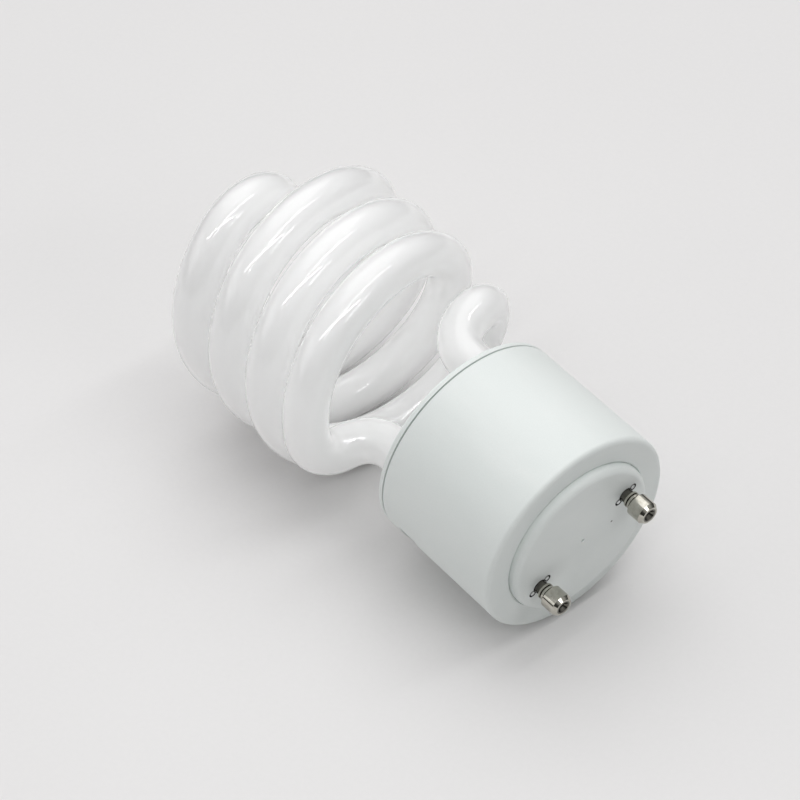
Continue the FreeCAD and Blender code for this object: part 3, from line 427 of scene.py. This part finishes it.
def spiral_mesh(sides=56):
    one = half_line()
    two = [Vector((-p.x, -p.y, p.z)) for p in reversed(one)][1:]
    line = eased(spaced(one + two, 0.8), 4)
    n = len(line)
    runs = [(line[min(i + 1, n - 1)] - line[max(i - 1, 0)]).normalized() for i in range(n)]
    across = runs[0].orthogonal().normalized()
    bm = bmesh.new()
    rings = []

    def ring(centre, run, across, r):
        other = run.cross(across)
        return [
            bm.verts.new(row(centre + (across * math.cos(k) + other * math.sin(k)) * r))
            for k in (2 * math.pi * i / sides for i in range(sides))
        ]

    # rounded closed end at the start of the tube
    for f in (0.16, 0.45, 0.72, 0.90):
        rings.append(ring(line[0] + runs[0] * (1 - math.sqrt(1 - (1 - f) ** 2)) * 1.2, runs[0], across, TUBE_R * f))
    body = []
    for i in range(3, n - 3):
        if body:
            across = (across - runs[i] * across.dot(runs[i])).normalized()
        rings.append(ring(line[i], runs[i], across, TUBE_R))
        body.append(rings[-1])
    last = runs[-1]
    across = (across - last * across.dot(last)).normalized()
    for f in (0.90, 0.72, 0.45, 0.16):
        rings.append(ring(line[-1] - last * (1 - math.sqrt(1 - (1 - f) ** 2)) * 1.2, last, across, TUBE_R * f))
    for a, b in zip(rings, rings[1:]):
        for i in range(sides):
            j = (i + 1) % sides
            bm.faces.new((a[i], a[j], b[j], b[i]))
    bm.faces.new(list(reversed(rings[0])))
    bm.faces.new(rings[-1])
    bmesh.ops.recalc_face_normals(bm, faces=bm.faces[:])
    me = bpy.data.meshes.new("glass_spiral")
    bm.to_mesh(me)
    bm.free()
    me.polygons.foreach_set("use_smooth", [True] * len(me.polygons))
    return me


spiral = bpy.data.objects.new("glass_spiral", spiral_mesh())
bpy.context.scene.collection.objects.link(spiral)
spiral.data.materials.append(glass)
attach(spiral, "root")
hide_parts("spiral_tube")


# ---------------------------------------------------------------- floor
def pale_floor():
    m, t, b = new_material("pale_floor")
    tex = t.nodes.new("ShaderNodeTexCoord").outputs["Object"]
    wash = noise(t, tex, 6.0, 3.0, 0.5)
    fine = noise(t, tex, 900.0, 3.0, 0.6)
    tone = ramp(t, wash, [(0.3, (0.755, 0.746, 0.746)), (0.7, (0.775, 0.766, 0.765))])
    grain = ramp(t, fine, [(0.3, (0.985, 0.985, 0.985)), (0.7, (1.0, 1.0, 1.0))])
    t.links.new(mix_colour(t, 1.0, tone, grain, "MULTIPLY"), b.inputs["Base Color"])
    b.inputs["Roughness"].default_value = 0.6
    b.inputs["Specular IOR Level"].default_value = 0.3
    t.links.new(bump(t, fine, 0.00003, 0.3), b.inputs["Normal"])
    return m


me = bpy.data.meshes.new("floor")
bm = bmesh.new()
bmesh.ops.create_circle(bm, cap_ends=True, segments=96, radius=0.42)
bm.to_mesh(me)
bm.free()
floor = bpy.data.objects.new("floor", me)
bpy.context.scene.collection.objects.link(floor)
floor.data.materials.append(pale_floor())


# ---------------------------------------------------------------- light
def towards(az, el, far):
    a, e = math.radians(az), math.radians(el)
    return Vector((math.cos(a) * math.cos(e), math.sin(a) * math.cos(e), math.sin(e))) * far


def panel(name, az, el, far, width, depth, watts, colour=(1, 1, 1), turn=0.0):
    d = bpy.data.lights.new(name, "AREA")
    d.shape = "RECTANGLE"
    d.size, d.size_y = width, depth
    d.energy = watts
    d.color = colour
    o = bpy.data.objects.new(name, d)
    o.location = towards(az, el, far)
    q = (-o.location).to_track_quat("-Z", "Y").to_matrix() @ Matrix.Rotation(math.radians(turn), 3, "Z")
    o.rotation_euler = q.to_euler()
    bpy.context.scene.collection.objects.link(o)
    return o


panel("overhead", 150, 66, 1.3, 1.3, 1.3, 5.1)
strip = panel("ceiling_strip", 0, 72, 1.05, 0.06, 1.8, 3.2)
strip.rotation_euler = (0.0, 0.0, 0.0)
strip.location = (0.30, -0.1, 1.0)
panel("right_strip", 4, 40, 1.2, 0.12, 0.5, 0.9, turn=90)
panel("left_fill", 235, 20, 1.2, 1.0, 0.45, 1.25)

# the light that real hollow glass lets through into the middle of the spiral
glow = bpy.data.objects.new("through_glass", bpy.data.lights.new("through_glass", "POINT"))
glow.data.energy = 0.0034
glow.data.shadow_soft_size = 0.010
glow.location = row((0.0, 0.0, 66.0))
glow.visible_camera = False
glow.visible_glossy = False
bpy.context.scene.collection.objects.link(glow)
lit = bpy.data.collections.new("lit_through_glass")
lit.objects.link(spiral)
glow.light_linking.receiver_collection = lit

# the bright ceiling, and the lamp at its near edge, that the clear wall of the glass mirrors along each turn
for name, place, width, watts in (
    ("mirrored_ceiling", (-0.45, 0.121, 1.0), 1.95, 2.2),
    ("mirrored_lamp", (0.311, -0.528, 1.0), 0.09, 5.6),
):
    o = panel(name, 0, 72, 1.05, width, 1.6, watts)
    o.rotation_euler = (0.0, 0.0, math.radians(-40.5))
    o.location = place
    o.visible_diffuse = False
    o.light_linking.receiver_collection = lit

# the room round the table: bright above, dim at the height of the table, a little brighter behind the lamp
world = bpy.data.worlds.new("room")
world.use_nodes = True
bpy.context.scene.world = world
wt = world.node_tree
back = wt.nodes["Background"]
dirs = wt.nodes.new("ShaderNodeTexCoord").outputs["Generated"]
sep = wt.nodes.new("ShaderNodeSeparateXYZ")
wt.links.new(dirs, sep.inputs["Vector"])
front_sky = ramp(wt, sep.outputs["Z"], [(0.0, (0.05, 0.05, 0.048)), (0.32, (0.07, 0.07, 0.068)), (0.6, (0.62, 0.62, 0.62)), (0.85, (0.8, 0.8, 0.8)), (1.0, (0.8, 0.8, 0.8))])
rear_sky = ramp(wt, sep.outputs["Z"], [(0.0, (0.06, 0.06, 0.058)), (0.2, (0.20, 0.20, 0.198)), (0.5, (0.86, 0.86, 0.86)), (0.85, (1.0, 1.0, 1.0)), (1.0, (0.85, 0.85, 0.85))])
side = wt.nodes.new("ShaderNodeVectorMath")
side.operation = "DOT_PRODUCT"
side.inputs[1].default_value = (math.cos(math.radians(160)), math.sin(math.radians(160)), 0.0)
wt.links.new(dirs, side.inputs[0])
sky = mix_colour(wt, spread(wt, side.outputs["Value"], 0.0, 1.0, -0.5, 0.5), front_sky, rear_sky)
path = wt.nodes.new("ShaderNodeLightPath")
wt.links.new(mix_colour(wt, path.outputs["Is Camera Ray"], sky, (0.98, 0.972, 0.972)), back.inputs["Color"])
back.inputs["Strength"].default_value = 0.80

# ---------------------------------------------------------------- camera
cam = bpy.data.objects.new("camera", bpy.data.cameras.new("camera"))
cam.data.lens = 180.0
cam.data.sensor_width = 36.0
cam.data.clip_start = 0.01
right = Vector((0.64907207, 0.76067076, -0.00924325))
up = Vector((-0.51545206, 0.44870082, 0.73005257))
behind = Vector((0.55947709, -0.46909228, 0.68332848))
m = Matrix((right, up, behind)).transposed().to_4x4()
m.translation = Vector((0.43833916, -0.37315605, 0.56433794))
cam.matrix_world = m
bpy.context.scene.collection.objects.link(cam)
bpy.context.scene.camera = cam

bpy.context.scene.cycles.max_bounces = 16
bpy.context.scene.cycles.diffuse_bounces = 8
bpy.context.scene.view_settings.view_transform = "Standard"
bpy.context.scene.view_settings.look = "None"
